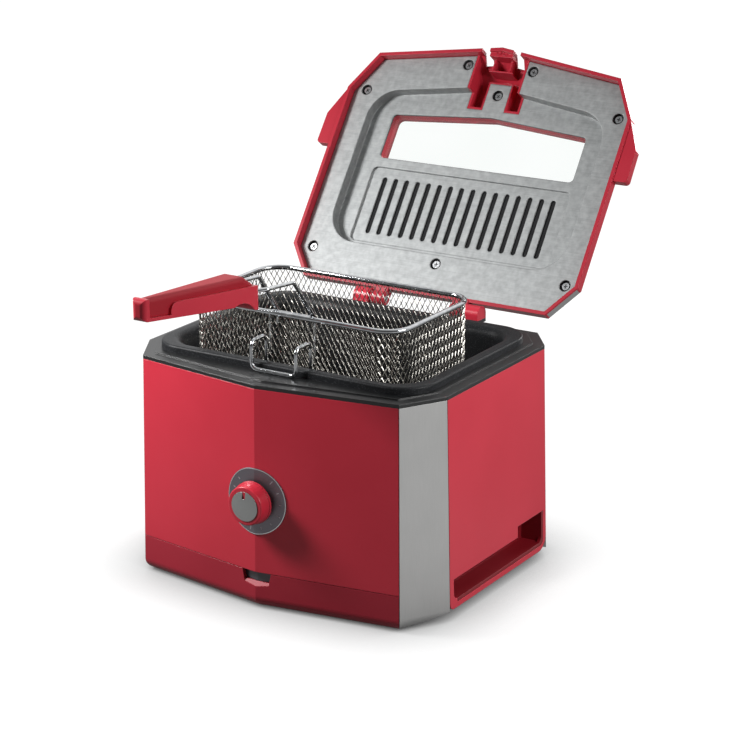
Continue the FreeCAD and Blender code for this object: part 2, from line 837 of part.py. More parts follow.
def make_grip():
    """Tray with a nose wall and stepped sides, and the crowned core that lies in it."""
    back = grip_back_reach
    tip = back + grip_length
    nose = tip - grip_nose
    shoulder = nose - grip_gap
    core = grip_blank([grip_line(back, grip_floor), grip_line(back, grip_side_height),
                       grip_line(back + grip_crown_run, grip_height), grip_line(nose, grip_nose_height),
                       grip_line(nose, grip_floor)], grip_shell)
    crown = [e for e in core.Edges if e.BoundBox.ZMin > grip_line(back, grip_side_height).z - slip]
    core = core.makeFillet(grip_crown, [e for e in crown if e.BoundBox.YLength > slip])
    tray = grip_blank([grip_line(back, 0.0), grip_line(back, grip_side_height),
                       grip_line(shoulder, grip_shoulder_height), grip_line(shoulder, grip_floor),
                       grip_line(nose, grip_floor), grip_line(nose, grip_nose_height),
                       grip_line(tip, grip_nose_height), grip_line(tip, grip_belly),
                       grip_line(back + finger_back, grip_belly), grip_line(back + finger_back, 0.0)], 0.0)
    across = [e for e in tray.Edges if e.BoundBox.YLength < slip and e.BoundBox.ZLength < slip]
    step = grip_line(shoulder, grip_shoulder_height)
    tray = tray.makeFillet(grip_shoulder, [e for e in across if (e.CenterOfMass - step).Length < slip])
    front = [e for e in tray.Edges if e.BoundBox.YMin < slip - tip and e.BoundBox.YLength < slip]
    tray = tray.makeFillet(nose_round, front)
    under = grip_line(back + finger_back, finger_bite - finger_radius)
    across = V(2.0 * grip_half_width, 0, 0)
    scoop = rod(finger_radius, under - across, under + across)
    return tray.cut(core).cut(scoop), core.cut(scoop)


def extrude_across(points, half_width):
    shifted = [p - V(half_width, 0, 0) for p in points]
    return Part.Face(Part.makePolygon(shifted + shifted[:1])).extrude(V(2.0 * half_width, 0, 0))


def rising_foot():
    """Space under the corner strips, whose feet rise from the front and back panels to the side panels."""
    outline = [V(0, -facet_reach - draft, housing_floor), V(0, -side_front_reach, side_panel_floor),
               V(0, side_back_reach, side_panel_floor), V(0, back_reach + draft, housing_floor)]
    return extrude_across(outline, body_half_width + 2.0 * draft)


def make_hook():
    bar = deck_top + hook_radius
    right = [V(hook_half_width, -hook_bar_reach, bar), V(hook_half_width, -hook_bar_reach, hook_arm_z),
             V(hook_half_width, -hook_leg_reach, hook_arm_z),
             V(hook_half_width, -hook_leg_reach, hook_arm_z - hook_leg)]
    left = [V(-p.x, p.y, p.z) for p in reversed(right)]
    return bent_rod(left + right, hook_bend, hook_radius)


def swing(shape):
    """Turn a piece of the closed lid to its open stop."""
    shape.rotate(V(0, hinge_y, hinge_z), ALONG_X, -lid_open)
    return shape


def lid_solid(inset, low, roof):
    """Closed solid under the lid's outer form, moved in by inset and closed at a roof height."""
    rim = grow(BODY_PLAN, -inset)
    run = lid_slope_run * (roof - lid_rim) / (lid_height - lid_rim)
    top = grow(BODY_PLAN, -inset - run)
    return fuse([prism(rim, lip_z + low, lip_z + lid_rim), taper(rim, lip_z + lid_rim, top, lip_z + roof)])


def lid_strip(corners):
    rim = sector(corners, BODY_PLAN, grow(BODY_PLAN, -strip_wall), 2.0 * strip_margin)
    run = lid_slope_run * (strip_top - lid_rim) / (lid_height - lid_rim)
    top = sector(corners, grow(BODY_PLAN, -run), grow(BODY_PLAN, -run - strip_wall), 2.0 * strip_margin)
    upright = prism(rim, lip_z + strip_margin, lip_z + lid_rim)
    return fuse([upright, taper(rim, lip_z + lid_rim, top, lip_z + strip_top)])


def lid_wing():
    root = body_half_width - lid_wall / 2.0
    reach = body_half_width + wing_reach
    outline = [(root, -wing_start), (reach - 0.5, -wing_shoulder), (reach, -wing_end), (root, -wing_end)]
    wing = prism(outline, lip_z + wing_low, lip_z + lid_rim)
    tips = upright_edges(wing, lambda x, y: x > body_half_width + 1.0)
    return wing.makeFillet(wing_reach / 4.0, tips)


def lid_screw_places():
    """Places of the lid's screws in plan, each with the height of the sheet that it holds."""
    x = passage_half_width + passage_wall + screw_beside
    lean = (ridge_reach - facet_reach) / facet_half_width
    right = [(x, screw_inset + lean * x - ridge_reach),
             (body_half_width - screw_side_inset, -side_front_reach - screw_front_shift),
             (body_half_width - screw_side_inset, side_back_reach - screw_back_shift)]
    middle = (0.0, recess_back + sheet + boss_radius + seam)
    border = right + [(-a, b) for a, b in right] + [middle]
    places = [(a, b, lip_z + border_rise + sheet) for a, b in border]
    return places + [(0.0, -passage_back - tab_screw_reach, lip_z + recess_rise + sheet)]


def lid_screw(x, y, seat):
    under = V(x, y, seat + dimple_depth)
    head = rod(screw_head_radius, under - V(0, 0, screw_head), under)
    return fuse([head, rod(screw_radius, under, under + V(0, 0, screw_length - screw_head))])


def window_block(margin, low, high):
    plan = [(0.0, -window_ridge), (window_half_width, -window_front), (window_half_width, -window_back),
            (-window_half_width, -window_back), (-window_half_width, -window_front)]
    block = prism(grow(plan, margin), lip_z + low, lip_z + high)
    return block.makeFillet(window_corner + margin, upright_edges(block, lambda x, y: abs(x) > 1.0))


def slots(count, reach, half_width, front, back, low, high):
    """Row of slots with round ends, from one reach to the other."""
    row = []
    for i in range(count):
        x = reach * (2.0 * i / (count - 1) - 1.0)
        row.append(box(x - half_width, x + half_width, front + half_width, back - half_width, low, high))
        row.append(rod(half_width, V(x, front + half_width, low), V(x, front + half_width, high)))
        row.append(rod(half_width, V(x, back - half_width, low), V(x, back - half_width, high)))
    return row


def lid_passage(outer, inner):
    """Walls and space of the passage, the block over the panel's tab and the bridge between the notches."""
    low = lip_z + border_rise
    roof = lip_z + passage_roof
    half = passage_half_width + passage_wall
    behind = -passage_back + passage_wall
    walls = box(-half, half, -ridge_reach, behind, low, roof + passage_wall).common(outer)
    half = passage_half_width
    space = box(-half, half, -ridge_reach, -passage_back, lip_z, roof).common(inner)
    tab_low = lip_z + recess_rise
    half = tab_half_width + tab_rim
    block = box(-half, half, -tab_front - tab_rim, -passage_back, tab_low, roof + passage_wall)
    half = tab_half_width + slip
    tab_space = box(-half, half, -tab_front - slip, behind + passage_wall, low, tab_low + sheet)
    half = notch_inner - slip
    inside = bridge_depth - ridge_reach
    bridge = box(-half, half, -ridge_reach, inside, lip_z + bridge_low, lip_z + notch_height)
    end = rib_depth - ridge_reach
    rib = box(rib_half_width - bridge_wall, rib_half_width, inside - slip, end, lip_z + rib_low, roof + slip)
    cross = box(-half, half, end - bridge_wall, end, lip_z + rib_low, roof + slip)
    bridge = fuse([bridge, cross] + both_sides(rib)).common(outer)
    return walls, space, block, tab_space, bridge


def make_lid_shell(strips, screws):
    outer = lid_solid(0.0, 0.0, lid_height)
    inner = lid_solid(lid_wall, 0.0, lid_height - lid_wall)
    walls, space, block, tab_space, bridge = lid_passage(outer, inner)
    shell = outer.cut(inner).fuse(walls.cut(recess_block(0.0, 0.0, recess_rise))).cut(space)
    shell = shell.fuse([block, bridge]).cut(tab_space)
    for x, y, seat in lid_screw_places():
        boss = rod(boss_radius, V(x, y, seat), V(x, y, lip_z + lid_height)).common(outer)
        shell = shell.fuse(boss).cut(rod(dimple_radius, V(x, y, seat), V(x, y, seat + dimple_depth)))
    shell = shell.fuse(both_sides(lid_wing()))
    arm = box(knuckle_inner, lug_inner - knuckle_gap, back_reach - lid_wall / 2.0, hinge_y,
              hinge_z - pin_radius, hinge_z + knuckle_radius)
    start = V(knuckle_inner, hinge_y, hinge_z)
    barrel = rod(knuckle_radius, start, V(lug_inner - knuckle_gap, hinge_y, hinge_z))
    bore = rod(pin_radius + running_fit, start - ALONG_X, V(lug_outer, hinge_y, hinge_z))
    shell = shell.fuse(both_sides(fuse([arm, barrel]))).cut(both_sides(bore))
    notch = box(notch_inner, notch_outer, -ridge_reach - 1.0, notch_depth - ridge_reach, lip_z - 1.0,
                lip_z + notch_height)
    top = lip_z + lid_height
    vents = slots(vent_count, vent_reach, vent_half_width, vent_front, vent_back, top - 2.0 * lid_wall,
                  top + 1.0)
    shell = shell.cut(both_sides(notch) + vents + strips + screws)
    shell = shell.cut(window_block(frame_lap - frame_wall, lid_height - 2.0 * lid_wall, lid_height + 1.0))
    return shell.removeSplitter()


def recess_block(margin, low, high):
    lean = (ridge_reach - facet_reach) / facet_half_width
    shoulder = -recess_front + recess_half_width * lean
    plan = [(0.0, -recess_front), (recess_half_width, shoulder), (recess_half_width, recess_back),
            (-recess_half_width, recess_back), (-recess_half_width, shoulder)]
    block = prism(grow(plan, margin), lip_z + low, lip_z + high)
    return block.makeFillet(recess_corner + margin, upright_edges(block, lambda x, y: abs(x) > 1.0))


def make_lid_panel():
    edge = grow(BODY_PLAN, -lid_wall - seam)
    border = prism(edge, lip_z + border_rise, lip_z + border_rise + sheet)
    grille_rise = recess_rise + grille_drop
    tray = recess_block(sheet, border_rise, recess_rise + sheet)
    grille = rounded_block(-grille_half_width - sheet, grille_half_width + sheet, grille_front - sheet,
                           grille_back + sheet, lip_z + recess_rise, lip_z + grille_rise + sheet,
                           grille_corner + sheet)
    panel = fuse([border, tray, grille]).cut(recess_block(0.0, border_rise, recess_rise))
    panel = panel.cut(rounded_block(-grille_half_width, grille_half_width, grille_front, grille_back,
                                    lip_z + recess_rise, lip_z + grille_rise, grille_corner))
    panel = panel.cut(window_block(0.0, recess_rise, recess_rise + sheet))
    low = lip_z + grille_rise
    row = slots(slot_count, slot_reach, slot_half_width, slot_front, slot_back, low, low + sheet)
    panel = panel.cut(row)
    half = passage_half_width + passage_wall + slip
    floor = lip_z + recess_rise
    behind = -passage_back + passage_wall + slip
    panel = panel.cut(box(-half, half, -ridge_reach, behind, lip_z, floor + sheet))
    tab = box(-tab_half_width, tab_half_width, -tab_front, behind, floor, floor + sheet)
    panel = panel.fuse(tab)
    for x, y, seat in lid_screw_places():
        panel = panel.cut(rod(dimple_radius, V(x, y, seat - sheet), V(x, y, seat)))
    return panel.removeSplitter()


def make_window():
    low = recess_rise + sheet
    gasket = window_block(gasket_lap, low, low + gasket_thickness)
    gasket = gasket.cut(window_block(0.0, low, low + gasket_thickness))
    low = low + gasket_thickness
    glass = window_block(gasket_lap, low, low + glass_thickness)
    low = low + glass_thickness
    roof = lid_height - lid_wall
    frame = window_block(frame_lap, low, roof).cut(window_block(frame_lap - frame_wall, low, roof))
    return gasket, glass, frame


def make_filters():
    low = lip_z + recess_rise + grille_drop + sheet + filter_gap
    half = filter_half_width
    grease = box(-half, half, filter_front, filter_back, low, low + filter_thickness)
    low = low + filter_thickness + filter_gap
    high = lip_z + lid_height - lid_wall - filter_gap
    return grease, box(-half, half, filter_front, filter_back, low, high)


def make_hinge():
    front = back_reach + lug_clear
    lug = rod(lug_radius, V(lug_inner, hinge_y, hinge_z), V(lug_outer, hinge_y, hinge_z))
    stand = box(lug_inner, lug_outer, front, hinge_y + lug_radius, ledge_top, hinge_z)
    pin = rod(pin_radius, V(knuckle_inner, hinge_y, hinge_z), V(lug_outer - pin_cover, hinge_y, hinge_z))
    lug = fuse([lug.cut(box(lug_inner, lug_outer, 0.0, 2.0 * hinge_y, 0.0, ledge_top)), stand]).cut(pin)
    return lug, Part.makeCompound(both_sides(pin))


def mirrored(shape):
    return shape.mirror(V(0, 0, 0), ALONG_X)


def build():
    nodes = {}
    nodes["front_panel"], nodes["front_skirt"] = make_front()
    nodes["right_side_panel"], nodes["right_grip_pocket"] = make_right_side()
    nodes["left_side_panel"] = mirrored(nodes["right_side_panel"])
    nodes["left_grip_pocket"] = mirrored(nodes["right_grip_pocket"])
    nodes["back_panel"], nodes["cord_gland"] = make_back()
    for name, corners in CORNERS.items():
        nodes[name + "_strip"] = footed_wall(corners, body_top).cut(rising_foot())
    nodes["deck"] = make_deck()
    nodes["oil_pot"] = make_pot()
    nodes["heat_shield"] = make_heat_shield()
    nodes["heating_element"] = make_element()
    nodes["thermostat_body"], shaft, nodes["thermostat_bulb"] = make_control()
    nodes["thermostat_shaft"] = shaft
    nodes["knob"], nodes["knob_cap"] = make_knob(shaft)
    nodes["dial_ring"] = make_dial()
    nodes["indicator_lens"], nodes["lamp_holder"] = make_lamp()
    nodes["base_pan"], nodes["housing_posts"], nodes["base_screws"], nodes["feet"] = make_base()
    nodes["terminal_block"] = make_terminal_block()
    nodes["thermal_cutout"] = make_cutout()
    nodes["drain_hook"] = make_hook()
    nodes["right_hinge_lug"], nodes["hinge_pins"] = make_hinge()
    nodes["left_hinge_lug"] = mirrored(nodes["right_hinge_lug"])
    nodes["basket_mesh"], nodes["basket_rim"] = make_basket()
    nodes["handle_bracket"] = make_bracket()
    nodes["handle_wires"], nodes["grip_lower"], nodes["grip_cover"] = make_handle()
    strips = {name: lid_strip(corners) for name, corners in CORNERS.items()}
    screws = [lid_screw(x, y, seat) for x, y, seat in lid_screw_places()]
    nodes["lid_shell"] = swing(make_lid_shell(list(strips.values()), screws))
    nodes["lid_inner_panel"] = swing(make_lid_panel())
    for name, strip in strips.items():
        nodes["lid_" + name + "_strip"] = swing(strip)
    nodes["lid_screws"] = swing(Part.makeCompound(screws))
    for name, piece in zip(("window_gasket", "window_glass", "window_frame"), make_window()):
        nodes[name] = swing(piece)
    for name, piece in zip(("grease_filter", "charcoal_filter"), make_filters()):
        nodes[name] = swing(piece)
    return nodes


os.makedirs("parts", exist_ok=True)
for node, shape in build().items():
    shape.exportStep("parts/" + node + ".step")
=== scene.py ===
"""Looks of a red household deep fryer, standing open with its basket hung to drain. Metres, +Z up, -Y front."""
import math

import bmesh
import bpy
from mathutils import Matrix, Vector


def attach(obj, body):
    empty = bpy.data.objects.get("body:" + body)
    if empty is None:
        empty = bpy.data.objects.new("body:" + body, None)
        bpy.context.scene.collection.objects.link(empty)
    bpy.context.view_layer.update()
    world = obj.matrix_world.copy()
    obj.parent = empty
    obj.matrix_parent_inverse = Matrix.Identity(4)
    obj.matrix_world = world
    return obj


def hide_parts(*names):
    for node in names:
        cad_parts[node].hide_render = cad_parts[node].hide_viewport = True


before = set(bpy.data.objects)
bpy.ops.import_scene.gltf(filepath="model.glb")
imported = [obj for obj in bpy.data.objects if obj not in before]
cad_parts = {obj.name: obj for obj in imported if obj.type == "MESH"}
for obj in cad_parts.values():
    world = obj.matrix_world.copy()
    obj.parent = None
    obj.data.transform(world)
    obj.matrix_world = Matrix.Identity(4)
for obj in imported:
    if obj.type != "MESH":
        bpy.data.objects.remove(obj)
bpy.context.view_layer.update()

MM = 0.001


def linear(hex_colour):
    """Turn an sRGB hex value into the linear colour that a shader takes."""
    parts = [int(hex_colour[i:i + 2], 16) / 255.0 for i in (1, 3, 5)]
    return tuple(c / 12.92 if c <= 0.04045 else ((c + 0.055) / 1.055) ** 2.4 for c in parts) + (1.0,)


def add(material, kind, inputs=None, **settings):
    """Add one node to a material, with its settings, its values and what links into it."""
    node = material.node_tree.nodes.new(kind)
    for name, value in settings.items():
        setattr(node, name, value)
    for name, value in (inputs or {}).items():
        if isinstance(value, bpy.types.NodeSocket):
            material.node_tree.links.new(value, node.inputs[name])
        else:
            node.inputs[name].default_value = value
    return node


def bare_material(name):
    """New material with no nodes."""
    material = bpy.data.materials.new(name)
    material.use_nodes = True
    material.node_tree.nodes.clear()
    return material


def close_material(material, shader):
    """Material whose surface is a finished shader."""
    add(material, "ShaderNodeOutputMaterial", {"Surface": shader.outputs[0]})
    return material


def per_metre(size_mm):
    """Texture scale at which a pattern repeats at a size in millimetres."""
    return 1.0 / (size_mm * MM)


def blend(material, share, low, high, start=0.35, end=0.65):
    """Colour that runs from one hex value to another while a share rises from start to end."""
    ramp = add(material, "ShaderNodeValToRGB", {"Fac": share})
    first, last = ramp.color_ramp.elements[0], ramp.color_ramp.elements[1]
    first.position = start
    first.color = linear(low)
    last.position = end
    last.color = linear(high)
    return ramp.outputs["Color"]


def spread(material, share, low, high):
    """Value that runs from low to high as a share runs from 0 to 1."""
    return add(material, "ShaderNodeMapRange", {"Value": share, "To Min": low, "To Max": high}).outputs["Result"]


def object_place(material):
    """Place on the object that patterns follow, in its own metres."""
    return add(material, "ShaderNodeTexCoord").outputs["Object"]


def clouds(material, place, size_mm, detail, more=None):
    """Cloudy pattern with features of a size in millimetres."""
    inputs = {"Vector": place, "Scale": per_metre(size_mm), "Detail": detail, **(more or {})}
    return add(material, "ShaderNodeTexNoise", inputs).outputs["Fac"]


def roughened(material, height, depth_mm, strength, edge_mm=0.0, edge_samples=4):
    """Surface direction over a pattern's bumps, with edges rounded by a radius where one is given."""
    inputs = {"Height": height, "Distance": depth_mm * MM, "Strength": strength}
    if edge_mm:
        edge = add(material, "ShaderNodeBevel", {"Radius": edge_mm * MM}, samples=edge_samples)
        inputs["Normal"] = edge.outputs["Normal"]
    return add(material, "ShaderNodeBump", inputs).outputs["Normal"]


def moulded_plastic(name, low, high, grain_mm, grain_depth_mm, rough, edge_mm, coat=0.0, shine_level=0.5):
    """Injection-moulded plastic: even colour that drifts slightly with the melt's flow, a fine cavity grain that
    breaks up the shine, and edges rounded by the tool."""
    m = bare_material(name)
    place = object_place(m)
    flow = clouds(m, place, 70.0, 3.0)
    grain = clouds(m, place, grain_mm, 2.0)
    shader = add(m, "ShaderNodeBsdfPrincipled", {
        "Base Color": blend(m, flow, low, high, 0.3, 0.7), "Roughness": spread(m, flow, rough - 0.04, rough + 0.04),
        "IOR": 1.53, "Specular IOR Level": shine_level, "Coat Weight": coat, "Coat Roughness": 0.12,
        "Normal": roughened(m, grain, grain_depth_mm, 0.6, edge_mm, 6)})
    return close_material(m, shader)


LINE_STRETCH = 0.012


def brushed_sheet(name, low, high, along, line_mm, rough, edge_mm=0.3, cloud_mm=55.0):
    """Sheet steel drawn past an abrasive belt: fine lines along one way, which stretch the highlights across it."""
    m = bare_material(name)
    place = object_place(m)
    stretch = tuple(LINE_STRETCH if i == along else 1.0 for i in range(3))
    lined = add(m, "ShaderNodeMapping", {"Vector": place, "Scale": stretch})
    lines = clouds(m, lined.outputs["Vector"], line_mm, 5.0, {"Roughness": 0.65})
    cloud = clouds(m, place, cloud_mm, 2.0)
    both = add(m, "ShaderNodeMath", {0: lines, 1: cloud}, operation="ADD")
    half = add(m, "ShaderNodeMath", {0: both.outputs[0], 1: 0.5}, operation="MULTIPLY")
    shader = add(m, "ShaderNodeBsdfPrincipled", {
        "Base Color": blend(m, half.outputs[0], low, high), "Metallic": 1.0,
        "Roughness": spread(m, lines, rough - 0.06, rough + 0.08),
        "Normal": roughened(m, lines, 0.03, 0.25, edge_mm)})
    return close_material(m, shader)


def plated_steel(name, low, high, rough, haze_mm):
    """Bright plating over drawn or cut steel: mirror-like, with a faint haze where the base was rough."""
    m = bare_material(name)
    haze = clouds(m, object_place(m), haze_mm, 3.0)
    shader = add(m, "ShaderNodeBsdfPrincipled", {
        "Base Color": blend(m, haze, low, high), "Metallic": 1.0,
        "Roughness": spread(m, haze, rough * 0.6, rough * 1.5)})
    return close_material(m, shader)


def baked_nonstick(name):
    """Fluoropolymer sprayed on sheet metal and baked: near black and low in sheen, with a fine pale fleck and orange
    peel."""
    m = bare_material(name)
    place = object_place(m)
    fleck = add(m, "ShaderNodeTexVoronoi", {"Vector": place, "Scale": per_metre(1.1)}, feature="F1")
    peel = clouds(m, place, 1.6, 3.0)
    shader = add(m, "ShaderNodeBsdfPrincipled", {
        "Base Color": blend(m, fleck.outputs["Distance"], "#56585B", "#242527", 0.12, 0.3), "IOR": 1.45,
        "Specular IOR Level": 0.18, "Roughness": spread(m, peel, 0.36, 0.5),
        "Normal": roughened(m, peel, 0.05, 0.5)})
    return close_material(m, shader)


def toughened_glass(name):
    """Float glass, cut and toughened: clear, faintly green, with almost flat faces."""
    m = bare_material(name)
    wave = clouds(m, object_place(m), 60.0, 1.0)
    shader = add(m, "ShaderNodeBsdfPrincipled", {
        "Base Color": blend(m, wave, "#F4F8F6", "#FBFDFC", 0.0, 1.0), "Roughness": 0.01, "IOR": 1.5,
        "Transmission Weight": 1.0, "Normal": roughened(m, wave, 0.02, 0.2)})
    return close_material(m, shader)


def fibre_pad(name, low, high, strand_mm):
    """Pad of tangled fibre: matt, with strands that catch the light one by one."""
    m = bare_material(name)
    strand = clouds(m, object_place(m), strand_mm, 6.0, {"Roughness": 0.7, "Distortion": 1.5})
    shader = add(m, "ShaderNodeBsdfPrincipled", {
        "Base Color": blend(m, strand, low, high), "Roughness": 0.92, "Normal": roughened(m, strand, 0.6, 1.0)})
    return close_material(m, shader)


red_abs = moulded_plastic("ABS_red_moulded_satin", "#D42F42", "#DB3548", 0.6, 0.003, 0.3, 0.7, shine_level=0.35)
# Darker copy of the red ABS for the lid: painted shade on its rim and wings
lid_abs_painted_shade = moulded_plastic("ABS_red_moulded_painted_shade", "#B42838", "#BC2E3E", 0.6, 0.003, 0.34, 0.7, shine_level=0.3)
# Darker copy of the red ABS for the front skirt: painted shade where the skirt turns down, out of the light
skirt_abs_painted_shade = moulded_plastic("ABS_red_moulded_satin_painted_shade", "#AE2839", "#B62E3F", 0.6, 0.003, 0.34, 0.8,
                            shine_level=0.25)
# Darker red for the grip's cover: painted shade on the grip's top
grip_top_abs_painted_shade = moulded_plastic("ABS_red_moulded_matt_painted_shade", "#A61B29", "#AE212F", 0.6, 0.003, 0.5, 0.9,
                               shine_level=0.2)
# Near-black red for the grip pockets: painted shade deep in the recesses
pocket_abs_painted_shade = moulded_plastic("ABS_red_moulded_matt_painted_pocket_shade", "#7E101B", "#861621", 0.6, 0.004, 0.45, 0.6,
                             shine_level=0.35)
black_pp = moulded_plastic("PP_black_moulded_spark_eroded", "#121314", "#191A1B", 0.7, 0.02, 0.36, 0.8)
dark_pa = moulded_plastic("PA_dark_grey_moulded", "#2E2E30", "#38383A", 0.8, 0.03, 0.5, 0.4)
smoked_pc = moulded_plastic("PC_smoked_moulded_diffuser", "#3A3A40", "#4A4A50", 1.2, 0.02, 0.3, 0.3, coat=0.3)
silicone = moulded_plastic("silicone_grey_moulded", "#3C3C3E", "#474749", 0.9, 0.03, 0.6, 0.3)
foot_rubber = moulded_plastic("rubber_black_moulded", "#212224", "#2B2C2E", 1.0, 0.04, 0.75, 0.4)
steatite = moulded_plastic("steatite_pressed_glazed", "#DCD8CC", "#E8E5DA", 1.4, 0.03, 0.35, 0.5)
mark_ink = moulded_plastic("ink_pale_grey_pad_printed", "#A9A8AC", "#B3B2B6", 0.4, 0.005, 0.5, 0.02)
# Near-black that paints the shade in the screws' cross recesses
painted_recess_shade = moulded_plastic("steel_screw_recess_painted_shade", "#17181A", "#202123", 0.4, 0.01, 0.6, 0.05)
strip_steel = brushed_sheet("stainless_brushed_upright", "#B0B0AF", "#BBBBBA", 2, 0.4, 0.42)
panel_steel = brushed_sheet("stainless_rolled_satin_pressed", "#939595", "#ABADAD", 0, 0.6, 0.62, edge_mm=1.4,
                            cloud_mm=5.0)
shield_steel = brushed_sheet("steel_aluminised_rolled", "#A9ABAD", "#BDBFC1", 2, 0.8, 0.45)
dial_aluminium = brushed_sheet("aluminium_anodised_satin", "#747177", "#807D83", 0, 0.3, 0.5)
cap_aluminium = brushed_sheet("aluminium_turned_anodised", "#A0A2A1", "#ACAEAD", 0, 0.25, 0.45)
tube_steel = brushed_sheet("steel_tube_annealed", "#7C7874", "#908C87", 0, 0.5, 0.5)
copper = plated_steel("copper_drawn_tube", "#A8683C", "#BC7C4C", 0.28, 3.0)
chrome_wire = plated_steel("steel_wire_drawn_chromed", "#A9ABAE", "#C2C4C6", 0.1, 6.0)
polished_edge = plated_steel("aluminium_edge_diamond_turned", "#C6C6C8", "#D4D4D6", 0.2, 2.0)
mesh_steel = plated_steel("steel_sheet_expanded_chromed", "#A9A6A0", "#BEBBB4", 0.24, 4.0)
zinc = plated_steel("steel_zinc_plated", "#BCBEC0", "#CBCDCF", 0.3, 1.5)
nonstick = baked_nonstick("fluoropolymer_sprayed_baked")
glass = toughened_glass("glass_float_toughened")
fibre = fibre_pad("polyester_fibre_pad_dark", "#161617", "#29292B", 1.5)
charcoal = fibre_pad("foam_carbon_loaded", "#1E1E1E", "#303030", 1.2)

FINISHES = [
    (red_abs, ["front_panel", "left_side_panel", "right_side_panel", "left_hinge_lug", "right_hinge_lug",
               "window_frame", "grip_lower", "knob"]),
    (lid_abs_painted_shade, ["lid_shell"]),
    (skirt_abs_painted_shade, ["front_skirt"]),
    (pocket_abs_painted_shade, ["left_grip_pocket", "right_grip_pocket"]),
    (grip_top_abs_painted_shade, ["grip_cover"]),
    (black_pp, ["deck", "back_panel"]),
    (nonstick, ["oil_pot"]),
    (strip_steel, ["front_left_strip", "front_right_strip", "back_left_strip", "back_right_strip",
                   "lid_front_left_strip", "lid_front_right_strip", "lid_back_left_strip",
                   "lid_back_right_strip"]),
    (panel_steel, ["lid_inner_panel"]),
    (chrome_wire, ["basket_rim", "handle_bracket", "handle_wires", "drain_hook"]),
    (mesh_steel, ["basket_mesh"]),
    (dial_aluminium, ["dial_ring"]),
    (cap_aluminium, ["knob_cap"]),
    (glass, ["window_glass"]),
    (silicone, ["window_gasket"]),
    (smoked_pc, ["indicator_lens"]),
    (dark_pa, ["base_pan", "lamp_holder", "cord_gland", "thermostat_body"]),
    (foot_rubber, ["feet"]),
    (shield_steel, ["heat_shield"]),
    (tube_steel, ["heating_element", "thermostat_shaft", "thermal_cutout", "housing_posts"]),
    (copper, ["thermostat_bulb"]),
    (steatite, ["terminal_block"]),
    (fibre, ["grease_filter"]),
    (charcoal, ["charcoal_filter"]),
    (zinc, ["lid_screws", "base_screws", "hinge_pins"]),
]
for finish, names in FINISHES:
    for name in names:
        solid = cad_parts[name]
        if not solid.material_slots:
            solid.data.materials.append(finish)
        for place in solid.material_slots:
            place.material = finish


def mesh_from(bm, name, outward=True):
    """Mesh made from finished geometry, with its faces turned outward unless it is an open sheet."""
    if outward:
        bmesh.ops.recalc_face_normals(bm, faces=bm.faces)
    mesh = bpy.data.meshes.new(name)
    bm.to_mesh(mesh)
    bm.free()
    return mesh


def new_piece(name, mesh, finish, body):
    """Object that shows a mesh with one finish, rides on a body and belongs to a material slot."""
    piece = bpy.data.objects.new(name, mesh)
    bpy.context.scene.collection.objects.link(piece)
    mesh.materials.append(finish)
    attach(piece, body)
    return piece


# Basket of expanded sheet: diamonds that stand on end, drawn round the walls and over the floor
BASKET_HALF_WIDTH = 94.0 * MM
BASKET_FRONT = 77.5 * MM
BASKET_BACK = 36.0 * MM
BASKET_CORNER = 20.0 * MM
BASKET_FLOOR_CORNER = 10.0 * MM
BASKET_TOP = 216.5 * MM
BASKET_FLOOR = 123.0 * MM
SHEET_INSET = 0.6 * MM
DIAMOND_WIDTH = 4.8 * MM
DIAMOND_HEIGHT = 8.5 * MM
STRAND = 0.95 * MM
STRAND_TILT = 0.25 * MM


def basket_outline(share, inset):
    """Point of the basket's plan at a share of its way round, moved in by an inset. Corners keep their centres."""
    a = BASKET_HALF_WIDTH - BASKET_CORNER
    front = -BASKET_FRONT + BASKET_CORNER
    back = BASKET_BACK - BASKET_CORNER
    arc = math.pi / 2.0 * BASKET_CORNER
    side = back - front
    stages = [(2.0 * a, (-a, front), -90.0, False), (arc, (a, front), -90.0, True),
              (side, (a, front), 0.0, False), (arc, (a, back), 0.0, True),
              (2.0 * a, (a, back), 90.0, False), (arc, (-a, back), 90.0, True),
              (side, (-a, back), 180.0, False), (arc, (-a, front), 180.0, True)]
    way = (share % 1.0) * sum(stage[0] for stage in stages)
    radius = BASKET_CORNER - inset
    for stage in stages:
        length, (cx, cy), angle, rounds = stage
        if way <= length or stage is stages[-1]:
            turn = math.radians(angle + (90.0 * way / length if rounds else 0.0))
            x = cx + radius * math.cos(turn)
            y = cy + radius * math.sin(turn)
            if not rounds:
                x += way * math.cos(turn + math.pi / 2.0)
                y += way * math.sin(turn + math.pi / 2.0)
            return x, y, (math.cos(turn), math.sin(turn))
        way -= length


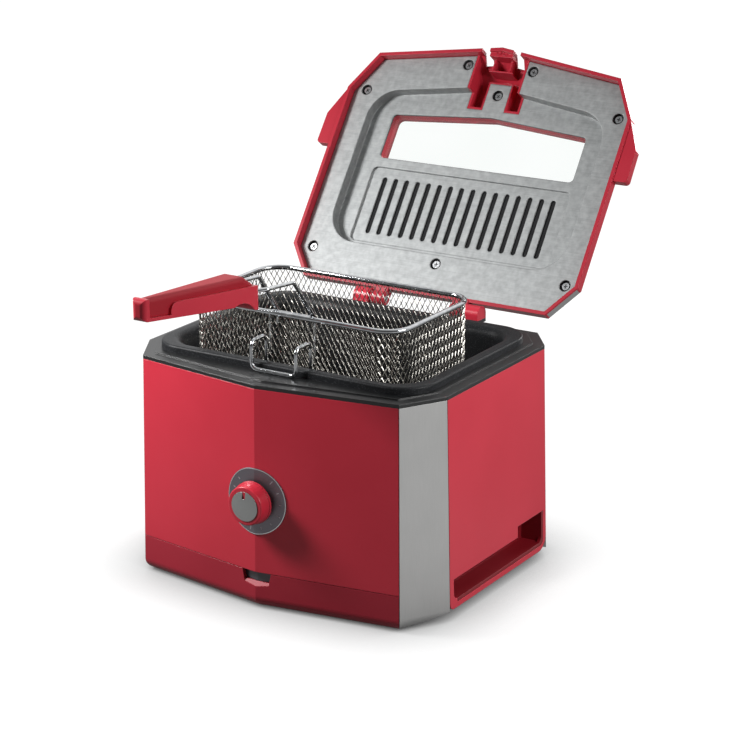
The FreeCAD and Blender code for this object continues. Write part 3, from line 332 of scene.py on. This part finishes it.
def basket_walls(bm):
    """Lattice of diamonds round the walls, from the rim down and in over the rounded foot."""
    arc = math.pi / 2.0 * BASKET_FLOOR_CORNER
    upright = BASKET_TOP - BASKET_FLOOR - BASKET_FLOOR_CORNER
    rows = round((upright + arc) / (DIAMOND_HEIGHT / 2.0))
    a = BASKET_HALF_WIDTH - BASKET_CORNER
    depth = BASKET_FRONT + BASKET_BACK - 2.0 * BASKET_CORNER
    columns = round((4.0 * a + 2.0 * depth + 2.0 * math.pi * BASKET_CORNER) / DIAMOND_WIDTH)
    grid = []
    for j in range(rows + 1):
        way = (upright + arc) * j / rows
        turn = max(0.0, (way - upright) / BASKET_FLOOR_CORNER)
        inset = SHEET_INSET + (BASKET_FLOOR_CORNER - SHEET_INSET) * (1.0 - math.cos(turn))
        low = BASKET_FLOOR + SHEET_INSET + BASKET_FLOOR_CORNER * (1.0 - math.sin(turn))
        z = BASKET_TOP - way if way < upright else low
        tilt = STRAND_TILT * (1.0 if j % 2 else -1.0)
        row = []
        for i in range(columns):
            x, y, out = basket_outline((i + 0.5 * (j % 2)) / columns, inset)
            row.append(bm.verts.new((x + tilt * out[0], y + tilt * out[1], z)))
        grid.append(row)
    for j in range(rows + 1):
        for i in range(columns):
            left, right = grid[j][i], grid[j][(i + 1) % columns]
            between = (i + j % 2) % columns
            corners = [left]
            if j < rows:
                corners.append(grid[j + 1][between])
            corners.append(right)
            if j > 0:
                corners.append(grid[j - 1][between])
            bm.faces.new(corners)


def basket_floor(bm):
    """Flat lattice inside the floor's outline; points that fall outside are drawn in to it."""
    half = BASKET_HALF_WIDTH - BASKET_FLOOR_CORNER
    front = -BASKET_FRONT + BASKET_FLOOR_CORNER
    back = BASKET_BACK - BASKET_FLOOR_CORNER
    corner = BASKET_CORNER - BASKET_FLOOR_CORNER
    columns = round(2.0 * half / DIAMOND_WIDTH)
    rows = round((back - front) / (DIAMOND_HEIGHT / 2.0))
    made = {}

    def point(column, row):
        key = (round(column * 2), row)
        if key not in made:
            x = half * (2.0 * column / columns - 1.0)
            y = front + (back - front) * row / rows
            mx = min(max(x, -half + corner), half - corner)
            my = min(max(y, front + corner), back - corner)
            away = math.hypot(x - mx, y - my)
            if away > corner:
                x = mx + (x - mx) * corner / away
                y = my + (y - my) * corner / away
            tilt = STRAND_TILT * (1.0 if row % 2 else -1.0)
            made[key] = bm.verts.new((x, y, BASKET_FLOOR + SHEET_INSET + tilt))
        return made[key]

    for j in range(rows + 1):
        shift = 0.5 * (j % 2)
        for i in range(columns - (j % 2)):
            corners = [point(i + shift, j)]
            if j > 0:
                corners.append(point(i + shift + 0.5, j - 1))
            corners.append(point(i + shift + 1.0, j))
            if j < rows:
                corners.append(point(i + shift + 0.5, j + 1))
            bm.faces.new(corners)


bm = bmesh.new()
basket_walls(bm)
basket_floor(bm)
sheet = mesh_from(bm, "expanded_sheet", outward=False)
basket = new_piece("basket_expanded_sheet", sheet, mesh_steel, "basket")
strands = basket.modifiers.new("strands", "WIREFRAME")
strands.thickness = STRAND
strands.use_even_offset = False
strands.use_boundary = True
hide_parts("basket_mesh")


# Scale on the dial: short radial dashes round the knob, on the two leaves of the folded plate
KNOB_Z = 86.0 * MM
RIDGE_REACH = 125.0 * MM
FACET_LEAN = 16.5 / 115.0
BODY_TOP = 173.6 * MM
DRAFT = 4.0 * MM / BODY_TOP
DIAL_THICKNESS = 0.6 * MM
MARK_RADII = (20.2 * MM, 23.4 * MM)
MARK_HALF_WIDTH = 0.3 * MM
EDGE_RADII = (25.3 * MM, 25.9 * MM)
EDGE_STEPS = 72
MARK_START = 40.0
MARK_STEP = 25.0
MARK_COUNT = 12
LONG_MARK_EVERY = 3
SHORT_MARK_CUT = 1.2 * MM
PRINT_RISE = 0.06 * MM
PRINT_SINK = 0.02 * MM


def dial_face(x, z):
    """Reach of the dial's front face at a place, over both leaves and with the housing's draft."""
    out = RIDGE_REACH + DRAFT * (BODY_TOP - z) + DIAL_THICKNESS
    slope = math.hypot(1.0, FACET_LEAN)
    return -(out * slope - RIDGE_REACH * (slope - 1.0)) + FACET_LEAN * abs(x)


def dial_patch(bm, corners):
    """Thin plate on the dial's face, with corners given by x and z."""
    front = [bm.verts.new((x, dial_face(x, z) - PRINT_RISE, z)) for x, z in corners]
    back = [bm.verts.new((x, dial_face(x, z) + PRINT_SINK, z)) for x, z in corners]
    bm.faces.new(front)
    bm.faces.new(back[::-1])
    for k in range(4):
        bm.faces.new((front[k], back[k], back[(k + 1) % 4], front[(k + 1) % 4]))


def round_knob(turn, radius, aside=0.0):
    """Place on the dial at a turn and radius from the knob's axis, moved aside across the radius."""
    return (radius * math.sin(turn) + aside * math.cos(turn),
            KNOB_Z + radius * math.cos(turn) - aside * math.sin(turn))


bm = bmesh.new()
for i in range(MARK_COUNT):
    turn = math.radians(MARK_START + MARK_STEP * i)
    start, end = MARK_RADII
    if i % LONG_MARK_EVERY:
        end -= SHORT_MARK_CUT
    dial_patch(bm, [round_knob(turn, start, -MARK_HALF_WIDTH), round_knob(turn, start, MARK_HALF_WIDTH),
                    round_knob(turn, end, MARK_HALF_WIDTH), round_knob(turn, end, -MARK_HALF_WIDTH)])
new_piece("dial_marks", mesh_from(bm, "dial_marks"), mark_ink, "housing")

bm = bmesh.new()
for i in range(EDGE_STEPS):
    start = 2.0 * math.pi * i / EDGE_STEPS
    end = 2.0 * math.pi * (i + 1) / EDGE_STEPS
    dial_patch(bm, [round_knob(start, EDGE_RADII[0]), round_knob(end, EDGE_RADII[0]),
                    round_knob(end, EDGE_RADII[1]), round_knob(start, EDGE_RADII[1])])
new_piece("dial_edge", mesh_from(bm, "dial_edge"), polished_edge, "housing")


# Round the lid's screws, dark rings that paint the shade in their dimples, a dark cross in each head that paints the
# shade of its recess, and two small eyes on the bridge of the passage
HINGE = Vector((0.0, 108.0 * MM, 180.4 * MM))
LID_OPEN = math.radians(-126.0)
LIP_Z = 178.5 * MM
HEAD_LOW = 0.5 * MM
CROSS_LONG = 1.7 * MM
CROSS_WIDE = 0.42 * MM
CROSS_SINK = Vector((0.0, 0.0, 0.05 * MM))
CROSS_RISE = Vector((0.0, 0.0, 0.3 * MM))
CROSS_START = 17.0
CROSS_STEP = 41.0
# Each screw by its x and y on the closed lid and its rise over the lip, in millimetres
SCREW_PLACES = [(31.0, -109.05, 8.0), (-31.0, -109.05, 8.0), (120.0, -76.0, 8.0), (-120.0, -76.0, 8.0),
                (120.0, 71.0, 8.0), (-120.0, 71.0, 8.0), (0.0, 69.9, 8.0), (0.0, -88.4, 18.0)]
RING_STEPS = 24
# Rings of dark plastic that paint the shade in each screw's dimple
DIMPLE_SHADE_RADII = (3.2 * MM, 4.78 * MM)
DIMPLE_SHADE_HEIGHTS = (-0.85 * MM, 2.45 * MM)
DIMPLE_SHADE_WALL = 0.15 * MM
EYE_RADII = (1.5 * MM, 2.5 * MM)
EYE_HEIGHTS = (1.5 * MM, 2.05 * MM)
EYE_PLACES = [(-3.0 * MM, -120.5 * MM), (3.0 * MM, -120.5 * MM)]


def to_open_lid(point):
    """Place on the lid as it stands open, from its place on the closed lid."""
    return HINGE + Matrix.Rotation(LID_OPEN, 3, "X") @ (point - HINGE)


def lid_ring(bm, x, y, profile):
    """Ring on an upright axis of the closed lid, turned from radii and heights, and put where the open lid has it."""
    rows = []
    for k in range(RING_STEPS):
        turn = 2.0 * math.pi * k / RING_STEPS
        rows.append([bm.verts.new(to_open_lid(Vector((x + r * math.cos(turn), y + r * math.sin(turn), z))))
                     for r, z in profile])
    for k in range(RING_STEPS):
        here, there = rows[k], rows[(k + 1) % RING_STEPS]
        for j in range(len(profile)):
            n = (j + 1) % len(profile)
            bm.faces.new((here[j], here[n], there[n], there[j]))


# Dark crosses on the screw heads: painted shade for their cross recesses
bm = bmesh.new()
for number, (x, y, rise) in enumerate(SCREW_PLACES):
    head = LIP_Z + rise * MM + HEAD_LOW
    turn = math.radians(CROSS_START + CROSS_STEP * number)
    for quarter in (0.0, math.pi / 2.0):
        along = Vector((math.cos(turn + quarter), math.sin(turn + quarter), 0.0))
        side = Vector((-along.y, along.x, 0.0))
        middle = Vector((x * MM, y * MM, head))
        flat = [middle + along * (s * CROSS_LONG) + side * (t * CROSS_WIDE)
                for s, t in ((-1, -1), (1, -1), (1, 1), (-1, 1))]
        low = [bm.verts.new(to_open_lid(p - CROSS_SINK)) for p in flat]
        high = [bm.verts.new(to_open_lid(p + CROSS_RISE)) for p in flat]
        bm.faces.new(low[::-1])
        bm.faces.new(high)
        for k in range(4):
            bm.faces.new((low[k], low[(k + 1) % 4], high[(k + 1) % 4], high[k]))
new_piece("screw_cross_painted_shade", mesh_from(bm, "screw_cross_painted_shade"), painted_recess_shade, "lid")

# Dark rings round the screw heads: painted shade in their dimples
bm = bmesh.new()
for x, y, rise in SCREW_PLACES:
    seat = LIP_Z + rise * MM
    mouth, end = seat + DIMPLE_SHADE_HEIGHTS[0], seat + DIMPLE_SHADE_HEIGHTS[1]
    lid_ring(bm, x * MM, y * MM, [(DIMPLE_SHADE_RADII[1], mouth), (DIMPLE_SHADE_RADII[1], end), (DIMPLE_SHADE_RADII[0], end),
                                  (DIMPLE_SHADE_RADII[0], end - DIMPLE_SHADE_WALL), (DIMPLE_SHADE_RADII[1] - DIMPLE_SHADE_WALL, end - DIMPLE_SHADE_WALL),
                                  (DIMPLE_SHADE_RADII[1] - DIMPLE_SHADE_WALL, mouth)])
new_piece("screw_dimple_painted_shade", mesh_from(bm, "screw_dimple_painted_shade"), dark_pa, "lid")

bm = bmesh.new()
for x, y in EYE_PLACES:
    low, high = LIP_Z + EYE_HEIGHTS[0], LIP_Z + EYE_HEIGHTS[1]
    lid_ring(bm, x, y, [(EYE_RADII[0], low), (EYE_RADII[1], low), (EYE_RADII[1], high), (EYE_RADII[0], high)])
new_piece("bridge_eyes", mesh_from(bm, "bridge_eyes"), lid_abs_painted_shade, "lid")


# Floor, light and camera
WHITE = (1.0, 1.0, 1.0, 1.0)
FLOOR_HALF = 9.0
FLOOR_NEAR = 0.35
FLOOR_FAR = 0.95
FLOOR_GLOW = 0.93
FLOOR_FAR_GLOW = 1.05
FLOOR_TONES = (0.12, 0.14)
SHADOW_REACH = 0.06
SHADOW_DEPTH = 0.02
FLOOR_PATCH = (0.45, -0.12, 0.0)
PATCH_REACH = (0.05, 0.4)
PATCH_SHEEN = (0.85, 0.3)
AMBIENT = 0.05
MIRROR_AIM = (0.1, 1.2)
MIRROR_GLOW = (0.12, 1.4)
MIRROR_RISE = 0.7


def seen_straight(material, path):
    """Share that is 1 for what the eye meets, straight or through glass."""
    return add(material, "ShaderNodeMath", {0: path.outputs["Is Camera Ray"], 1: path.outputs["Is Transmission Ray"]},
               operation="MAXIMUM").outputs[0]


def studio_floor():
    """White paper: it glows for the eye, keeps the lamps' soft shadow near the object with a painted contact shadow
    from ambient occlusion darkening the glow there, and sends little light back up. In reflections it shows a painted
    pool of light in a patch to the right, as under a lamp."""
    m = bare_material("paper_white_matt")
    path = add(m, "ShaderNodeLightPath")
    place = object_place(m)
    cloud = add(m, "ShaderNodeTexNoise", {"Vector": place, "Scale": per_metre(400.0)})
    lit = add(m, "ShaderNodeBsdfDiffuse", {"Color": spread(m, cloud.outputs["Fac"], *FLOOR_TONES)})
    away = add(m, "ShaderNodeVectorMath", {0: place}, operation="LENGTH")
    reach = add(m, "ShaderNodeMapRange", {"Value": away.outputs["Value"], "From Min": FLOOR_NEAR,
                                          "From Max": FLOOR_FAR, "To Min": FLOOR_GLOW, "To Max": FLOOR_FAR_GLOW})
    # Painted contact shadow: ambient occlusion darkens the floor's glow near the object
    near = add(m, "ShaderNodeAmbientOcclusion", {"Distance": SHADOW_REACH}, samples=12)
    shade = spread(m, near.outputs["AO"], SHADOW_DEPTH, 1.0)
    glow = add(m, "ShaderNodeMath", {0: reach.outputs[0], 1: shade}, operation="MULTIPLY")
    # Painted pool of light, seen only in reflections, round a point to the right of the object
    patch = add(m, "ShaderNodeVectorMath", {0: place, 1: FLOOR_PATCH}, operation="DISTANCE")
    sheen = add(m, "ShaderNodeMapRange", {"Value": patch.outputs["Value"], "From Min": PATCH_REACH[0],
                                          "From Max": PATCH_REACH[1], "To Min": PATCH_SHEEN[0],
                                          "To Max": PATCH_SHEEN[1]})
    mirror = add(m, "ShaderNodeMath", {0: path.outputs["Is Glossy Ray"], 1: sheen.outputs[0]}, operation="MULTIPLY")
    seen = add(m, "ShaderNodeMath", {0: seen_straight(m, path), 1: mirror.outputs[0]}, operation="MAXIMUM")
    strength = add(m, "ShaderNodeMath", {0: glow.outputs[0], 1: seen.outputs[0]}, operation="MULTIPLY")
    bright = add(m, "ShaderNodeEmission", {"Color": WHITE, "Strength": strength.outputs[0]})
    both = add(m, "ShaderNodeAddShader", {0: lit.outputs[0], 1: bright.outputs[0]})
    return close_material(m, both)


floor_mesh = bpy.data.meshes.new("studio_floor")
floor_mesh.from_pydata([(x * FLOOR_HALF, y * FLOOR_HALF, 0.0) for x, y in ((-1, -1), (1, -1), (1, 1), (-1, 1))],
                       [], [(0, 1, 2, 3)])
floor = bpy.data.objects.new("studio_floor", floor_mesh)
bpy.context.scene.collection.objects.link(floor)
floor_mesh.materials.append(studio_floor())


def studio_world():
    """White to the eye and through the window, dim on the surfaces, and in reflections bright above and behind the
    object."""
    world = bpy.data.worlds.new("studio")
    world.use_nodes = True
    world.node_tree.nodes.clear()
    path = add(world, "ShaderNodeLightPath")
    aim = add(world, "ShaderNodeSeparateXYZ", {"Vector": add(world, "ShaderNodeTexCoord").outputs["Generated"]})
    above = add(world, "ShaderNodeMath", {0: aim.outputs["Z"], 1: MIRROR_RISE, 2: aim.outputs["Y"]},
                operation="MULTIPLY_ADD")
    behind = add(world, "ShaderNodeMapRange", {"Value": above.outputs[0], "From Min": MIRROR_AIM[0],
                                               "From Max": MIRROR_AIM[1], "To Min": MIRROR_GLOW[0],
                                               "To Max": MIRROR_GLOW[1]})
    ambient = add(world, "ShaderNodeBackground", {"Color": WHITE, "Strength": AMBIENT})
    mirrored = add(world, "ShaderNodeBackground", {"Color": WHITE, "Strength": behind.outputs[0]})
    plain = add(world, "ShaderNodeBackground", {"Color": WHITE, "Strength": 1.0})
    first = add(world, "ShaderNodeMixShader", {"Fac": path.outputs["Is Glossy Ray"], 1: ambient.outputs[0],
                                               2: mirrored.outputs[0]})
    second = add(world, "ShaderNodeMixShader", {"Fac": seen_straight(world, path), 1: first.outputs[0],
                                                2: plain.outputs[0]})
    add(world, "ShaderNodeOutputWorld", {"Surface": second.outputs[0]})
    return world


bpy.context.scene.world = studio_world()


def soft_box(name, place, target, side, power):
    """Square lamp at a place, facing a target."""
    lamp = bpy.data.lights.new(name, "AREA")
    lamp.shape = "RECTANGLE"
    lamp.size = side
    lamp.size_y = side
    lamp.energy = power
    holder = bpy.data.objects.new(name, lamp)
    holder.location = place
    holder.rotation_euler = (Vector(place) - Vector(target)).to_track_quat("Z", "Y").to_euler()
    bpy.context.scene.collection.objects.link(holder)


soft_box("key_left", (-0.46, -0.34, 0.52), (0.0, -0.04, 0.18), 0.19, 5.7)
soft_box("low_behind", (0.15, 1.05, 0.42), (0.0, 0.1, 0.2), 0.4, 6.0)
soft_box("side_right", (0.76, -0.03, 0.48), (0.13, 0.0, 0.10), 0.35, 4.2)

AZIMUTH = math.radians(32.36)
ELEVATION = math.radians(17.94)
ROLL = math.radians(-0.29)
DISTANCE = 1.817
TARGET = Vector((26.2 * MM, 0.0, 154.2 * MM))
forward = Vector((-math.sin(AZIMUTH) * math.cos(ELEVATION), math.cos(AZIMUTH) * math.cos(ELEVATION),
                  -math.sin(ELEVATION)))
camera_data = bpy.data.cameras.new("camera")
camera_data.sensor_width = 36.0
camera_data.lens = 112.66
camera = bpy.data.objects.new("camera", camera_data)
camera.location = TARGET - forward * DISTANCE
camera.rotation_euler = (forward.to_track_quat("-Z", "Y").to_matrix() @ Matrix.Rotation(ROLL, 3, "Z")).to_euler()
bpy.context.scene.collection.objects.link(camera)
bpy.context.scene.camera = camera
bpy.context.scene.view_settings.view_transform = "Standard"
